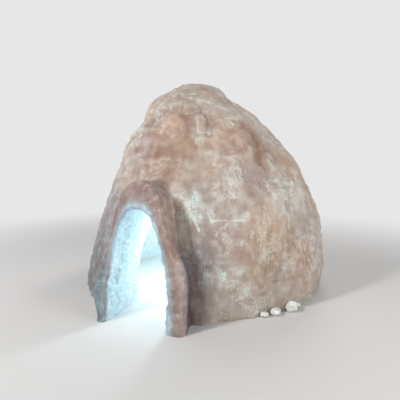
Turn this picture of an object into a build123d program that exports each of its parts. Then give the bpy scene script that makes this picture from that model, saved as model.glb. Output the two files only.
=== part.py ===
"""Snow-block igloo with an arched entrance hood.

A hollow dome of tapering snow blocks laid in closed ring courses, each course leaning further in
than the one below, and shut by a round key block. An arched passage is cut through the wall and
carried forward by a hood of arch blocks. The dome has settled: its rings have crept sideways, so
that one side bellies out and the crown stands over the other.

+Z is up, the ground is Z = 0, the entrance faces -Y and the middle of the lowest ring lies
DOME_BACK behind the origin and DOME_ASIDE beside it, so that the origin is under the middle of
the whole building.
Left and right are those of a person who stands outside and faces the entrance: left is -X.
"""

import os
from math import atan2, cos, degrees, hypot, pi, radians, sin

from build123d import *

# Dome: outline, settling and wall
DOME_RADIUS = 1340.0  # outside, at the ground
DOME_HEIGHT = 2262.0  # outside
OUTLINE_RISE = 1.92  # exponents of the outline: 2 and 2 are an ellipse
OUTLINE_INWARD = 1.54
BELLY_CREEP = 86.0  # how far the rings at half height have crept towards +X
CROWN_CREEP = -170.0  # the same at the crown
WALL_AT_FOOT = 250.0
WALL_AT_CROWN = 150.0
FACETS = 48  # flat cuts round the whole dome

# Courses of blocks, from the ground up
KEY_RADIUS = 270.0  # outside radius of the key block, at its bed
COURSE_BLOCKS = (12, 12, 12, 12, 12, 12, 8, 6)  # blocks that a full ring would take
COURSE_TURN = (0.0, 15.0, 0.0, 15.0, 0.0, 15.0, 7.5, 0.0)  # first joint, degrees from the door
LINTEL_COURSE = 3  # counted from 0: its first block bridges the passage

# Entrance passage and hood
PASSAGE_WIDTH = 610.0
PASSAGE_HEIGHT = 1020.0
PASSAGE_CURVE = 150.0  # radius of its crown
PASSAGE_SIDE = 30.0  # its middle, off the lowest ring's
ARCH_SPRING = 200.0  # the sides are upright to here
HOOD_REACH = 1600.0  # front of the hood from the middle of the lowest ring, at the ground
HOOD_TILT = 3.2  # degrees that the hood leans back, so that its ridge falls towards the dome
HOOD_JAMB = 135.0  # thickness of the hood beside the passage, the mean of its two sides
HOOD_SIDE = 42.0  # the hood's middle, off the passage's: its right jamb is the thicker one
HOOD_CROWN = 240.0  # thickness of the hood over the passage
HOOD_CURVE = 240.0  # radius of the hood's outside at its crown
HOOD_RIM = 30.0  # how far the rim is rounded off, in three flats
HOOD_JOINTS = (20.0, 50.0, 68.0, 80.0)  # joints of its blocks, degrees up from the springing

# Lumps that have come off and lie against the foot: angle round the dome, length, turn
LUMP_TILT = 18.0
LUMPS = (
    ("foot_lump_large", -31.0, 135.0, 20.0),
    ("foot_lump_middle", -38.5, 95.0, 65.0),
    ("foot_lump_small", -43.5, 75.0, 35.0),
    ("foot_lump_crumb", -25.5, 65.0, 80.0),
)

# Sizes that follow
DOOR_ANGLE = -90.0
DOME_BACK = (HOOD_REACH - DOME_RADIUS) / 2  # from the origin back to the middle of the lowest ring
PASSAGE_HALF = PASSAGE_WIDTH / 2
HOOD_HALF = PASSAGE_HALF + HOOD_JAMB
HOOD_HEIGHT = PASSAGE_HEIGHT + HOOD_CROWN
COURSES = len(COURSE_BLOCKS)
FACET = 360 / FACETS
GROUND = Plane.XY
BIG = 3 * (DOME_RADIUS + DOME_HEIGHT + HOOD_REACH)


def outline_point(turn):
    """Point (radius, height) of the outline at a parameter from 0 (foot) to 1 (crown)."""
    angle = turn * pi / 2
    radius = DOME_RADIUS * max(cos(angle), 0.0) ** (2 / OUTLINE_INWARD)
    height = DOME_HEIGHT * max(sin(angle), 0.0) ** (2 / OUTLINE_RISE)
    return radius, height


def walk_outline(steps=4000):
    """Points along the outline, each with its distance from the foot."""
    walk = [(0.0, DOME_RADIUS, 0.0)]
    for step in range(1, steps + 1):
        radius, height = outline_point(step / steps)
        length = walk[-1][0] + hypot(radius - walk[-1][1], height - walk[-1][2])
        walk.append((length, radius, height))
    return walk


WALK = walk_outline()
WALL_LENGTH = WALK[-1][0]
KEY_BED = max(length for length, radius, height in WALK if radius >= KEY_RADIUS)
COURSE_RISE = KEY_BED / COURSES  # height of a course, measured along the wall


def creep_at(height):
    """How far a ring at a height has crept towards +X as the dome settled."""
    share = height / DOME_HEIGHT
    return 4 * BELLY_CREEP * share * (1 - share) + CROWN_CREEP * share * (2 * share - 1)


BELLY_REACH = max(radius + creep_at(height) for _, radius, height in WALK)
DOME_ASIDE = (DOME_RADIUS - BELLY_REACH) / 2  # from the origin across to the lowest ring's middle
PORCH = Plane(
    origin=(DOME_ASIDE + PASSAGE_SIDE, DOME_BACK - HOOD_REACH, 0),
    x_dir=(1, 0, 0),
    z_dir=(0, -cos(radians(HOOD_TILT)), sin(radians(HOOD_TILT))),
)


def wall_at(length):
    """Outer and inner point (radius, height) of the wall at a distance up the outline."""
    after = next(index for index, spot in enumerate(WALK) if spot[0] >= length or spot is WALK[-1])
    after = max(after, 1)
    (low, radius_low, height_low), (high, radius_high, height_high) = WALK[after - 1], WALK[after]
    share = (length - low) / (high - low)
    radius = radius_low + share * (radius_high - radius_low)
    height = height_low + share * (height_high - height_low)
    out = OUTLINE_INWARD * (radius / DOME_RADIUS) ** (OUTLINE_INWARD - 1) / DOME_RADIUS
    rise = OUTLINE_RISE * (height / DOME_HEIGHT) ** (OUTLINE_RISE - 1) / DOME_HEIGHT
    wall = WALL_AT_FOOT + (WALL_AT_CROWN - WALL_AT_FOOT) * length / WALL_LENGTH
    wall /= hypot(out, rise)
    return (radius, height), (radius - wall * out, height - wall * rise)


def ring_middle(height):
    """Middle of the ring at a height."""
    return Vector(DOME_ASIDE + creep_at(height), DOME_BACK, height)


def ring_corners(spot):
    """Corners of the level ring through a point (radius, height) of the wall's section."""
    radius, height = spot
    turns = [radians(DOOR_ANGLE + (corner + 0.5) * FACET) for corner in range(FACETS)]
    return [ring_middle(height) + Vector(radius * cos(turn), radius * sin(turn), 0) for turn in turns]


def flat_face(*corners):
    """Flat face with these corners."""
    return Face(Wire.make_polygon(corners, close=True))


def join_rings(*spots, hollow=False):
    """Solid with flat facets from ring to ring: a plug, or a hollow ring that closes on its first."""
    rings = [ring_corners(spot) for spot in spots]
    pairs = list(zip(rings, rings[1:] + (rings[:1] if hollow else [])))
    faces = [] if hollow else [flat_face(*rings[0]), flat_face(*rings[-1])]
    for low, high in pairs:
        for corner in range(FACETS):
            faces.append(flat_face(low[corner - 1], low[corner], high[corner], high[corner - 1]))
    return Solid(Shell(faces))


def course_spots(course):
    """Section of a course: beds square to the wall, outer face broken at half height."""
    low_out, low_in = wall_at(course * COURSE_RISE)
    middle_out, _ = wall_at((course + 0.5) * COURSE_RISE)
    high_out, high_in = wall_at((course + 1) * COURSE_RISE)
    return low_out, middle_out, high_out, high_in, low_in


def joint_plane(course, angle):
    """Upright plane from the ring's middle out through a joint: blocks before it are on its back."""
    low_out, _, high_out, _, _ = course_spots(course)
    low, high = ring_middle(low_out[1]), ring_middle(high_out[1])
    outwards = Vector(1, 0, 0).rotate(Axis.Z, DOOR_ANGLE + angle)
    return Plane(origin=low, x_dir=outwards, z_dir=(high - low).cross(outwards))


def draw_arch(half_width, height, crown):
    """Stilted arch on the ground line: upright to the springing, two long arcs, a round crown."""
    centre_height = height - crown - ARCH_SPRING
    side = (half_width**2 + centre_height**2 - crown**2) / (2 * (half_width - crown))
    turn = degrees(atan2(centre_height, side - half_width))
    with BuildSketch() as arch:
        with BuildLine():
            CenterArc((half_width - side, ARCH_SPRING), side, 0, turn)
            CenterArc((0, height - crown), crown, turn, 180 - 2 * turn)
            CenterArc((side - half_width, ARCH_SPRING), side, 180 - turn, turn)
            Polyline(
                (-half_width, ARCH_SPRING), (-half_width, 0), (half_width, 0), (half_width, ARCH_SPRING)
            )
        make_face()
    return arch.sketch


# The dome's whole outside, solid: what stands against the dome is fitted to it
KEY_ROWS = [wall_at(KEY_BED + part * (WALL_LENGTH - KEY_BED))[0] for part in (0.3, 0.6, 0.85)]
HALF_COURSES = [wall_at(half * COURSE_RISE / 2)[0] for half in range(2 * COURSES + 1)]
with BuildPart() as dome_envelope:
    add(join_rings(*HALF_COURSES, *KEY_ROWS))

# The entrance passage as a solid, to cut through the wall from the front to the room
with BuildPart() as passage:
    with BuildSketch(PORCH):
        add(draw_arch(PASSAGE_HALF, PASSAGE_HEIGHT, PASSAGE_CURVE))
    extrude(amount=-HOOD_REACH)


def joint_angles(course):
    """Joints of a course from the door round to the door again, degrees from the door's middle.

    Below the lintel the first and the last block run on to the door, where the passage trims
    them, and there is no joint within the passage. The lintel is left out of its own course.
    """
    step = 360 / COURSE_BLOCKS[course]
    turn = COURSE_TURN[course]
    count = COURSE_BLOCKS[course]
    if course < LINTEL_COURSE:
        between = [turn + step * joint for joint in range(1, count if turn == 0 else count - 1)]
        return [0, *between, 360]
    if course == LINTEL_COURSE:
        return [turn + step * joint for joint in range(count)]
    return [turn + step * joint for joint in range(count + 1)]


def lay_blocks(course, spans):
    """Blocks of one course between pairs of joints, cut by the passage."""
    with BuildPart() as ring:
        add(join_rings(*course_spots(course), hollow=True))
        if course <= LINTEL_COURSE:
            add(passage.part, mode=Mode.SUBTRACT)
    with BuildPart() as blocks:
        for start, end in spans:
            with BuildPart(mode=Mode.PRIVATE) as block:
                add(ring.part)
                split(bisect_by=joint_plane(course, start), keep=Keep.BOTTOM)
                split(bisect_by=joint_plane(course, end), keep=Keep.TOP)
            add(block.part)
    return blocks.part


def keep_piece(piece, name):
    """Label a finished piece and write its file."""
    piece.label = name
    export_step(piece, f"parts/{name}.step")


os.makedirs("parts", exist_ok=True)

# Ring courses: every other block is one piece of the set, so that no two in it touch
for course in range(COURSES):
    joints = joint_angles(course)
    spans = list(zip(joints, joints[1:]))
    keep_piece(lay_blocks(course, spans[0::2]), f"course_{course + 1}_odd_blocks")
    keep_piece(lay_blocks(course, spans[1::2]), f"course_{course + 1}_even_blocks")

# Lintel block: bridges the passage in its course
half_lintel = COURSE_TURN[LINTEL_COURSE]
keep_piece(lay_blocks(LINTEL_COURSE, [(-half_lintel, half_lintel)]), "passage_lintel_block")

# Key block: a round plug with a tapering edge that shuts the dome, its underside level
with BuildPart() as key_block:
    add(join_rings(wall_at(KEY_BED)[1], wall_at(KEY_BED)[0], *KEY_ROWS))
keep_piece(key_block.part, "key_block")

# Hood: a stilted arch that runs forward from the dome, leaning back a little, its rim rounded off
with BuildPart() as hood_body:
    with BuildSketch(PORCH):
        with Locations((HOOD_SIDE, 0)):
            add(draw_arch(HOOD_HALF, HOOD_HEIGHT, HOOD_CURVE))
        add(draw_arch(PASSAGE_HALF, PASSAGE_HEIGHT, PASSAGE_CURVE), mode=Mode.SUBTRACT)
    extrude(amount=-HOOD_REACH)
    depth = Axis(PORCH.origin, -PORCH.z_dir)
    above = hood_body.edges().filter_by(lambda edge: edge.center().Z > 1)
    chamfer(above.filter_by_position(depth, -1, 1), length=HOOD_RIM)
    above = hood_body.edges().filter_by(lambda edge: edge.center().Z > 1)
    corners = above.filter_by_position(depth, -1, HOOD_RIM + 1)
    corners = corners.filter_by(lambda edge: abs(edge.tangent_at(0.5).dot(depth.direction)) < 0.1)
    chamfer(corners, length=0.35 * HOOD_RIM)
    split(bisect_by=GROUND, keep=Keep.TOP)
    add(dome_envelope.part, mode=Mode.SUBTRACT)


def hood_block(low, high):
    """Arch block of the hood between two joints, as angles about the springing's middle."""
    with BuildPart() as block:
        add(hood_body.part)
        with BuildSketch(PORCH):
            with Locations((0, ARCH_SPRING)):
                turns = [radians(turn) for turn in (low, (low + high) / 2, high)]
                Polygon((0, 0), *[(BIG * cos(turn), BIG * sin(turn)) for turn in turns], align=None)
        extrude(amount=-HOOD_REACH, mode=Mode.INTERSECT)
    return block.part


below_foot = -60.0
right_joints = (below_foot,) + HOOD_JOINTS
hood_names = ("lower_jamb", "upper_jamb", "haunch", "shoulder")
for name, low, high in zip(hood_names, right_joints, right_joints[1:]):
    keep_piece(hood_block(low, high), f"hood_right_{name}")
    keep_piece(hood_block(180 - high, 180 - low), f"hood_left_{name}")
keep_piece(hood_block(HOOD_JOINTS[-1], 180 - HOOD_JOINTS[-1]), "hood_crown_block")

# Lumps: broken corners of blocks, tipped, half settled and lying against the dome's foot
for name, angle, length, turn in LUMPS:
    with BuildPart() as lump:
        reach = DOME_RADIUS + 0.3 * length
        spot = ring_middle(0) + Vector(reach, 0, 0.28 * length).rotate(Axis.Z, angle)
        with Locations(Location(spot, (LUMP_TILT, LUMP_TILT, turn))):
            Box(length, 0.8 * length, 0.7 * length)
        chamfer(lump.edges(), length=0.2 * length)
        split(bisect_by=GROUND, keep=Keep.TOP)
        add(dome_envelope.part, mode=Mode.SUBTRACT)
    keep_piece(lump.part, name)
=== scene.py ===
"""Dresses the packed snow-block igloo: dome courses, key, lintel, entrance hood and loose lumps."""

from math import atan2, cos, pi, radians, sin, tan

import bmesh
import bpy
import numpy as np
from bpy.props import FloatProperty, FloatVectorProperty, PointerProperty
from mathutils import Euler, Matrix, Vector


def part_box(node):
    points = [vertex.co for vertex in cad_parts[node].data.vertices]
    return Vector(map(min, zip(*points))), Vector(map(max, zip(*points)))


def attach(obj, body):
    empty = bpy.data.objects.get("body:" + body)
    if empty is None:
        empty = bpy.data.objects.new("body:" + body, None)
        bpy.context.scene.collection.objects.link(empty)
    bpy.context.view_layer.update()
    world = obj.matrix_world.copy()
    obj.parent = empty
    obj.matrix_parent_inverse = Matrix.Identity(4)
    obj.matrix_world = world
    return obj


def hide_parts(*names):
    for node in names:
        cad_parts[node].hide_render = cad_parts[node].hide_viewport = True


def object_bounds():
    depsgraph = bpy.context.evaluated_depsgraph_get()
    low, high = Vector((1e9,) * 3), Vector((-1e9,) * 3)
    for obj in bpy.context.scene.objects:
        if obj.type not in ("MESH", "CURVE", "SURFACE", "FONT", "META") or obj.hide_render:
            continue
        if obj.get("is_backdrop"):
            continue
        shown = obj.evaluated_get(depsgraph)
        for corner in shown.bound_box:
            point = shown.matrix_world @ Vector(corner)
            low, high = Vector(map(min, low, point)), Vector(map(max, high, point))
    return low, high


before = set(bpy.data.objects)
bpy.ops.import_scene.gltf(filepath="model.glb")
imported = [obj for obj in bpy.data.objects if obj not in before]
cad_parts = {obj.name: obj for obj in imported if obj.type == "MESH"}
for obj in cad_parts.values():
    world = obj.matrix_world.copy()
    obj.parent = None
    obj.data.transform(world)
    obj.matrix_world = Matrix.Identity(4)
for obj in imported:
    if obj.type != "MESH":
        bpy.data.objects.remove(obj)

bl_info = {
    "name": "Snow-block igloo",
    "version": (1, 0, 0),
    "blender": (4, 5, 0),
    "location": "3D View > Sidebar > Igloo",
    "description": "Snow blocks, entrance hood and loose lumps of a hand-built igloo",
    "category": "Add Mesh",
}

CAD_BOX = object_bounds()

# Courses, as in the solids: blocks of a full ring, and the first joint in degrees from the door
COURSE_BLOCKS = (12, 12, 12, 12, 12, 12, 8, 6)
COURSE_TURN = (0.0, 15.0, 0.0, 15.0, 0.0, 15.0, 7.5, 0.0)
LINTEL_COURSE = 3
HOOD_JOINTS = (20.0, 50.0, 68.0, 80.0)
FOOT_STATION = -20.0  # where the hood meets the ground, on the scale of its joints

# Creases in the packed snow: points as (degrees from the door, metres up the wall), width, depth
CREASES = (
    (((-24, 1.90), (-18, 2.06), (-7, 2.12), (4, 2.10), (11, 2.02), (14, 1.91), (14, 1.76)), 0.048, 0.044),
    (((17, 2.06), (24, 2.10), (28, 2.02), (28, 1.90), (26, 1.78)), 0.036, 0.034),
    (((-57, 1.69), (-37, 1.75), (-21, 1.77), (-5, 1.72)), 0.034, 0.022),
    (((-31, 1.58), (-18, 1.61), (-4, 1.58)), 0.034, 0.020),
    (((-19, 1.51), (-11, 1.53), (-1, 1.53)), 0.032, 0.017),
    (((57, 1.86), (58, 1.72), (56, 1.58), (54, 1.45)), 0.060, 0.034),
    (((-3, 2.36), (9, 2.29), (21, 2.25)), 0.022, 0.018),
    (((8, 1.82), (9, 1.58), (10, 1.50)), 0.034, 0.009),
    (((42, 0.94), (44, 0.78)), 0.024, 0.008),
    (((17, 0.80), (19, 0.73), (20, 0.60)), 0.026, 0.009),
)

# Swellings: degrees from the door, metres up the wall, breadth, how far they stand out
SWELLINGS = (
    (-56, 2.22, 0.13, 0.042),
    (-57, 1.93, 0.12, -0.020),
    (-57, 1.69, 0.10, 0.014),
    (93, 2.54, 0.20, 0.034),
    (81, 1.38, 0.28, 0.034),
    (1, 1.93, 0.14, 0.050),
    (21, 1.94, 0.07, 0.034),
    (43, 1.74, 0.17, 0.044),
    (-30, 1.84, 0.13, 0.020),
    (65, 1.60, 0.14, -0.016),
    (32, 1.30, 0.20, 0.010),
    (36, 0.62, 0.25, 0.012),
)

# Thin places where the cold light inside shines through: degrees, metres up, breadth, strength
THIN_SNOW = (
    (0, 1.12, 0.07, 0.45),
    (6, 1.11, 0.09, 0.60),
    (13, 1.07, 0.11, 0.95),
    (16, 0.97, 0.10, 0.95),
    (21, 0.95, 0.08, 0.70),
    (31, 0.90, 0.10, 0.45),
    (21, 0.43, 0.11, 0.60),
    (28, 0.41, 0.13, 0.80),
    (34, 0.42, 0.11, 0.65),
    (43, 0.44, 0.12, 0.40),
    (17, 1.70, 0.12, 0.50),
    (21, 1.48, 0.13, 0.45),
    (50, 2.14, 0.13, 0.55),
    (38, 2.22, 0.09, 0.45),
    (32, 1.27, 0.12, 0.50),
    (63, 1.13, 0.13, 0.60),
    (60, 0.75, 0.13, 0.45),
    (53, 1.62, 0.16, 0.45),
    (62, 1.45, 0.14, 0.40),
    (37, 1.05, 0.14, 0.30),
    (49, 0.72, 0.15, 0.30),
    (23, 0.72, 0.12, 0.25),
    (-30, 1.82, 0.11, 0.50),
    (-22, 1.66, 0.08, 0.45),
    (-38, 1.45, 0.12, 0.45),
    (-20, 2.18, 0.10, 0.45),
    (12, 1.42, 0.09, 0.55),
    (68, 1.05, 0.13, 0.50),
    (37, 0.92, 0.08, 0.55),
    (58, 0.92, 0.10, 0.50),
    (70, 1.70, 0.12, 0.50),
    (17, 0.62, 0.10, 0.40),
)

# Toned patches of the dome: degrees, metres up, breadth, strength and tint
ROSY = (0.96, 0.80, 0.73)
OCHRE = (0.95, 0.83, 0.71)
MAUVE = (0.86, 0.76, 0.79)
# painted shade of folds over the door and at the upper right, laid on as a brown tone
PAINTED_SHADE_BROWN = (0.80, 0.65, 0.56)
TONED_SNOW = (
    (1, 1.91, 0.13, 1.0, ROSY),
    (-14, 1.70, 0.13, 0.6, ROSY),
    (-7, 1.40, 0.24, 1.0, PAINTED_SHADE_BROWN),
    (-26, 1.55, 0.20, 0.6, MAUVE),
    (7, 1.60, 0.15, 0.8, PAINTED_SHADE_BROWN),
    (45, 1.70, 0.24, 0.9, ROSY),
    (56, 1.62, 0.17, 0.9, PAINTED_SHADE_BROWN),
    (21, 1.40, 0.10, 0.7, OCHRE),
    (72, 1.44, 0.10, 0.7, ROSY),
    (49, 0.70, 0.22, 0.8, OCHRE),
    (42, 0.48, 0.17, 0.7, OCHRE),
    (-43, 2.15, 0.16, 0.4, OCHRE),
    (-10, 1.20, 0.12, 0.8, MAUVE),
    (44, 1.25, 0.13, 0.8, MAUVE),
    (31, 0.72, 0.16, 0.6, MAUVE),
    (56, 2.32, 0.14, 0.6, ROSY),
    (65, 0.45, 0.18, 0.6, ROSY),
    (43, 0.94, 0.09, 0.5, ROSY),
    (98, 1.15, 0.26, 0.7, OCHRE),
    (104, 1.85, 0.24, 0.7, ROSY),
    (125, 0.70, 0.28, 0.7, MAUVE),
    (146, 1.45, 0.30, 0.7, ROSY),
    (168, 0.95, 0.24, 0.7, OCHRE),
    (180, 1.95, 0.26, 0.6, ROSY),
    (-155, 0.60, 0.28, 0.7, MAUVE),
    (-140, 1.45, 0.28, 0.7, OCHRE),
    (-110, 1.85, 0.24, 0.7, ROSY),
    (-82, 1.50, 0.20, 0.6, ROSY),
)

# Thin places on the hood, with painted light through them: station, metres back from its front, breadth,
# strength
THIN_HOOD = (
    (66, 0.30, 0.09, 0.60),
    (58, 0.42, 0.11, 0.95),
    (48, 0.46, 0.10, 0.85),
    (78, 0.40, 0.09, 0.55),
)

# Seams of thin snow, with painted light through them, points as above
THIN_SEAMS = (
    ((22, 0.90), (31, 0.90), (38, 0.89)),
    ((12, 0.97), (15, 0.89), (17, 0.80)),
    ((20, 0.97), (22, 0.88)),
    ((-3, 1.14), (5, 1.11), (12, 1.07)),
    ((20, 0.45), (28, 0.38), (34, 0.36)),
)

# Layers of noise: height, breadth in metres and seed
BROAD_LUMPS = ((1.0, 0.44, 11), (0.7, 0.21, 12))
BROAD_FOLDS = ((1.0, 0.33, 18), (0.25, 0.12, 19))
RUBBED_AREAS = ((1.3, 0.38, 13),)
HAND_DIMPLES = ((0.9, 0.135, 20),)
FINGER_DIMPLES = ((1.0, 0.085, 14),)
SMALL_DIMPLES = ((0.5, 0.048, 15),)
CREASE_WANDER = ((0.012, 0.09, 17),)
SEAM_WANDER = ((0.006, 0.05, 23),)
PATCH_WANDER = ((1.0, 0.16, 51), (0.5, 0.07, 52))
BROKEN_LIGHT = ((1.5, 0.09, 21), (0.9, 0.04, 22))
BROKEN_HOOD_LIGHT = ((1.5, 0.09, 21),)
OPEN_JOINTS = ((1.6, 0.21, 31),)
OPEN_HOOD_JOINTS = ((1.5, 0.15, 41),)
ROOM_LUMPS = ((0.010, 0.16, 32),)
HOOD_LUMPS = ((0.015, 0.30, 42), (0.009, 0.13, 43))
HOOD_DIMPLES = ((0.004, 0.06, 44), (0.002, 0.032, 45))
PASSAGE_ROUGH = ((0.014, 0.11, 46), (0.009, 0.05, 47), (0.006, 0.028, 48))

NOISE_SLOPES = 512
NOISE_SHIFT = 37.0  # keeps the noise's cells away from the origin
NOISE_PRIMES = (73856093, 19349663, 83492791)
NOISE_GAIN = 1.6
TINY = 1e-6

# Relief of the dome's face
FOLD_SHARE = 0.45  # height of the folds, as a share of the lumps
STROKE_DRUM = 1.2  # radius of the drum that the smoothing strokes are laid out on
STROKE_LEAN = 0.12
STROKE_SCALE = (24.0, 24.0, 4.2)
STROKE_SEED = 16
LIP_RISE = 1.8  # the lip over a crease: place, height and breadth against the crease's own
LIP_HEIGHT = 0.8
LIP_BREADTH = 1.6
FILLET_RIGHT = 0.075  # snow packed between dome and hood, right and left of the door
FILLET_LEFT = 0.030
FILLET_TURN = 20.0  # degrees over which one passes to the other
CREASE_FULL_SHADE = 0.030  # depth of a crease that is fully painted in shade
GROOVE_DARK = 0.012  # depth of a joint that is fully dark
JOINT_OPEN = 0.05  # above 0, joints are left open more often than packed
JOINT_BREADTH = 0.022
JOINT_GLOW = 0.035

# Light through thin snow
VALLEY_GLOW = 0.42
SEAM_BREADTH = 0.010

# Blocks
EDGE_ROWS = (0.0, 0.004, 0.010, 0.018, 0.028)  # rows of cells from a block's edge, in metres
WALL_ROWS = (0.0, 0.06, 0.35, 0.65, 0.94, 1.0)  # the same through the wall, as shares of it
LEAST_CELLS = 14
KEY_CELLS = (44, 44, 8)
LUMP_CELLS = (22, 22, 22)
HOOD_CELLS = (18, 44)  # through the hood's thickness and back along it
LEAST_HOOD_CELLS = 12
JAMB_TURNS = (radians(-5), radians(40))  # the jambs of the door lie between these
LINTEL_DROP = 0.2  # how far below its bed the lintel's cut is looked for
FARTHEST_RIM = 3.0  # how far out an arch's outline is looked for

# Rubbed outline of the hood: metres, station and breadth in stations
RIGHT_SHOULDER = ((0.075, 66, 17),)
RIGHT_TAPER = ((0.050, 62, 24),)
LEFT_OUTLINE = ((0.080, 119, 16), (-0.032, 165, 22))
LEFT_LIP = ((0.022, 125, 22),)
RIGHT_BACK = 0.030  # the least by which the hood's right side is rubbed back
RIGHT_TAPER_LEAST = 0.050
RIGHT_FOOT_LIP = 0.020
LEAST_HOOD = 0.08  # thickness that is always left
HOOD_SUNK = 0.05  # how far the hood's blocks reach into the dome's face
HOOD_BACK_POWER = 1.15  # above 1, rows of cells lie closer at the hood's front

# Tints, as factors of the snow's colour
# painted cool shade of the dome's left flank
PAINTED_COOL_SHADE_FLANK = (0.59, 0.66, 0.775)
# painted shadow of the hood on the dome right of it
PAINTED_HOOD_SHADOW = (0.46, 0.43, 0.48)
# painted shade over the hood's snow, darker and pinker than the dome's
HOOD_SHADE_TINT = (0.66, 0.56, 0.58)
# painted highlight along the hood's right rim, low and high
LOW_RIDGE_HIGHLIGHT = (0.94, 0.89, 0.98)
HIGH_RIDGE_HIGHLIGHT = (0.92, 0.79, 0.73)
# painted cool shade of the hood's left jamb, and of its front
PAINTED_COOL_SHADE_JAMB = (0.64, 0.65, 0.69)
PAINTED_COOL_SHADE_JAMB_FRONT = (0.39, 0.57, 0.72)
SHADED_SIDE = (0.28, 0.26, 0.34)
# painted cold light in the passage
PAINTED_PASSAGE_LIGHT = (0.88, 0.97, 1.0)
# painted light round the door, brighter and bluer
PAINTED_DOOR_GLOW = (0.78, 1.06, 1.30)
LUMP_TINT = 1.25

# Stage
FLOOR_RADIUS = 60.0
FLOOR_FADE = (2.4, 6.0)  # distances at which the floor starts and ends to fade
AMBIENT_COLOUR = (0.90, 0.95, 1.0, 1.0)
AMBIENT_STRENGTH = 0.29
SENSOR = 36.0
LAMP_AIM = (0.0, 0.0, 0.9)

# Lamps: name, kind, place, size, power and colour
LAMPS = (
    ("key_lamp", "AREA", (-2.4, -5.4, 4.5), 0.8, 265.0, (1.0, 0.97, 0.94)),
    ("left_lamp", "AREA", (-5.6, -0.6, 3.2), 3.0, 50.0, (0.86, 0.93, 1.0)),
    ("right_lamp", "AREA", (5.0, -2.2, 2.4), 2.4, 100.0, (1.0, 0.97, 0.95)),
    ("back_lamp", "AREA", (0.8, 5.6, 4.6), 3.0, 180.0, (1.0, 0.96, 0.93)),
    ("room_lamp", "POINT", (0.15, -0.35, 0.70), 0.16, 36.0, (0.84, 0.96, 1.0)),
)


def length_of(name, text, value):
    return FloatProperty(name=name, description=text, default=value, unit="LENGTH")


def angle_of(name, text, value):
    return FloatProperty(name=name, description=text, default=value, subtype="ANGLE")


def exponent_of(name, text, value):
    return FloatProperty(name=name, description=text, default=value, min=1.2, max=3.0)


def colour_of(name, text, value):
    return FloatVectorProperty(name=name, description=text, default=value, subtype="COLOR")


class IglooDome(bpy.types.PropertyGroup):
    """Sizes of the dome."""

    radius: length_of("Radius", "Outside radius at the ground", 1.340)
    height: length_of("Height", "Outside height", 2.262)
    rise: exponent_of("Rise", "Exponent of the outline in height: 2 is an ellipse", 1.92)
    inward: exponent_of("Fullness", "Exponent of the outline across: less is more pointed", 1.54)
    belly: length_of("Belly creep", "How far the rings at half height have crept to the right", 0.086)
    crown: length_of("Crown creep", "The same at the crown", -0.170)
    back: length_of("Set back", "From the middle of the building back to the lowest ring's middle", 0.130)
    wall_foot: length_of("Wall at the foot", "Thickness of the lowest blocks", 0.25)
    wall_crown: length_of("Wall at the crown", "Thickness of the uppermost blocks", 0.15)
    key_radius: length_of("Key radius", "Outside radius of the key block at its bed", 0.27)
    cell: length_of("Cell", "Size of a mesh cell on the face", 0.0125)


class IglooEntrance(bpy.types.PropertyGroup):
    """Sizes of the passage and the hood."""

    width: length_of("Passage width", "Clear width of the passage", 0.61)
    height: length_of("Passage height", "Clear height of the passage", 1.02)
    curve: length_of("Passage crown", "Radius of the passage's crown", 0.150)
    side: length_of("Passage aside", "Middle of the passage off the lowest ring's", 0.030)
    spring: length_of("Springing", "The sides are upright to here", 0.2)
    reach: length_of("Reach", "Front of the hood from the lowest ring's middle", 1.60)
    tilt: angle_of("Tilt", "How far the hood leans back", radians(3.2))
    jamb: length_of("Jamb", "Mean thickness of the hood beside the passage", 0.135)
    hood_side: length_of("Hood aside", "Middle of the hood off the passage's", 0.042)
    crown: length_of("Crown", "Thickness of the hood over the passage", 0.24)
    outer_curve: length_of("Hood crown", "Radius of the hood's outside at its crown", 0.24)
    rim: length_of("Rim", "Radius that the rim is rubbed round to", 0.06)
    weld: length_of("Weld", "Breadth of the packed snow where hood and dome meet", 0.13)
    cell: length_of("Cell", "Size of a mesh cell on the hood", 0.010)


class IglooFinish(bpy.types.PropertyGroup):
    """Colours of the snow and depths of its relief."""

    snow: colour_of("Snow", "Main colour of the packed snow", (0.540, 0.442, 0.368))
    cool: colour_of("Cool snow", "Greyer colour of broad patches", (0.475, 0.412, 0.378))
    # frost on rubbed places, and also the painted highlight on crests
    frost_and_highlight: colour_of("Frost", "Colour of rubbed, frosted places", (0.660, 0.610, 0.555))
    # painted shade in hollows and creases, and the colour of dark strokes
    shade: colour_of("Hollows", "Colour of the snow in hollows and creases", (0.385, 0.285, 0.235))
    thin: colour_of("Thin snow", "Colour where light shines through thin snow", (0.770, 0.870, 0.820))
    room_shade: colour_of("Room hollows", "Colour of the hollows of the snow inside", (0.500, 0.640, 0.680))
    room: colour_of("Room snow", "Colour of the snow inside", (0.800, 0.830, 0.840))
    lumps: length_of("Lumps", "Height of the broad lumps", 0.022)
    dimples: length_of("Dimples", "Height of hand-sized dimples", 0.0105)
    streaks: length_of("Streaks", "Height of the smoothing strokes", 0.0035)
    joints: length_of("Joints", "Depth of the joints between blocks", 0.004)


class IglooStage(bpy.types.PropertyGroup):
    """Floor, lamps and camera."""

    floor: colour_of("Floor", "Colour of the floor", (0.70, 0.69, 0.68))
    backdrop: colour_of("Backdrop", "Colour behind the object", (0.80, 0.80, 0.81))
    camera: FloatVectorProperty(
        name="Camera", description="Place of the camera",
        default=(1.7616, -4.228, 1.5), subtype="TRANSLATION",
    )
    heading: angle_of("Heading", "Turn of the view from straight back to the left", atan2(0.384, 0.923))
    pitch: angle_of("Pitch", "How far the camera looks down", radians(7.1))
    lens: FloatProperty(name="Lens", description="Focal length on a 36 mm sensor", default=36.0)


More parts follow.
